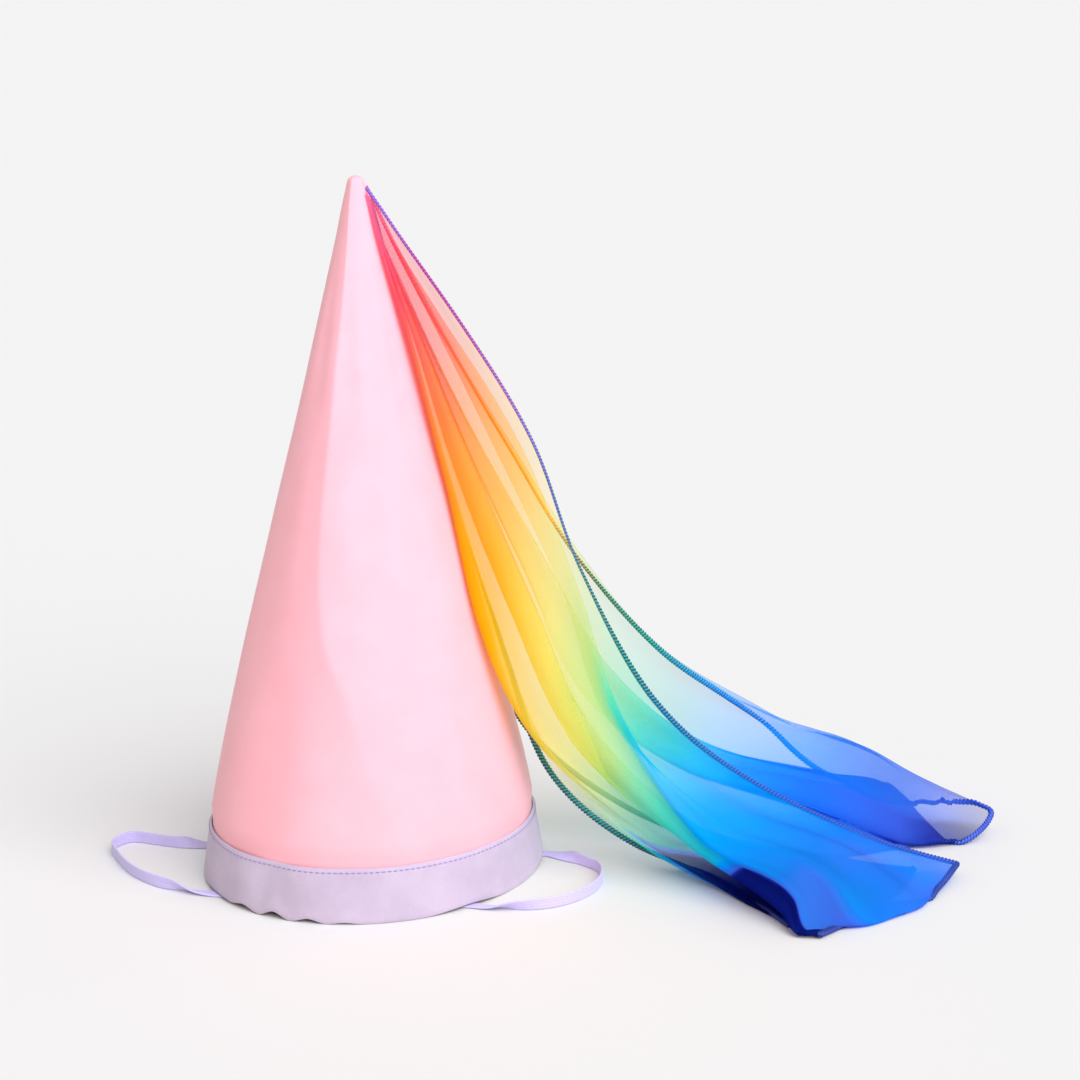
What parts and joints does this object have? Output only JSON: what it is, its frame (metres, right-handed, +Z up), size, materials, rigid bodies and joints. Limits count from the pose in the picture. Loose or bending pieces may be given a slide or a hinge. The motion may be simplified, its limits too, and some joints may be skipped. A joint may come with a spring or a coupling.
{
  "type": "princess hat",
  "caption": "Tall cone-shaped dress-up hat in cloth with a bound hem, an elastic chin strap and a sheer rainbow veil sewn in at the tip and trailing down its side.",
  "frame": {"origin": "on the surface it stands on, under the middle of the hat's and veil's box, the loose chin strap left out", "axes": "+Z up along the cone, +X the way the veil trails, the hat's front facing -Y"},
  "size_m": [0.4377, 0.1766, 0.339],
  "materials": {
    "pink_cloth": "woven pale pink cloth",
    "lavender_cloth": "woven lavender cloth, topstitched",
    "lavender_elastic": "ribbed flat elastic",
    "near_chiffon": "sheer rainbow chiffon with an overlocked hem",
    "far_chiffon": "sheer rainbow chiffon with an overlocked hem"
  },
  "bodies": {
    "root": {"cone_crown": "pink_cloth", "hem_band": "lavender_cloth", "chin_strap": "lavender_elastic", "veil_near_panel": "near_chiffon", "veil_far_panel": "far_chiffon"}
  },
  "joints": []
}
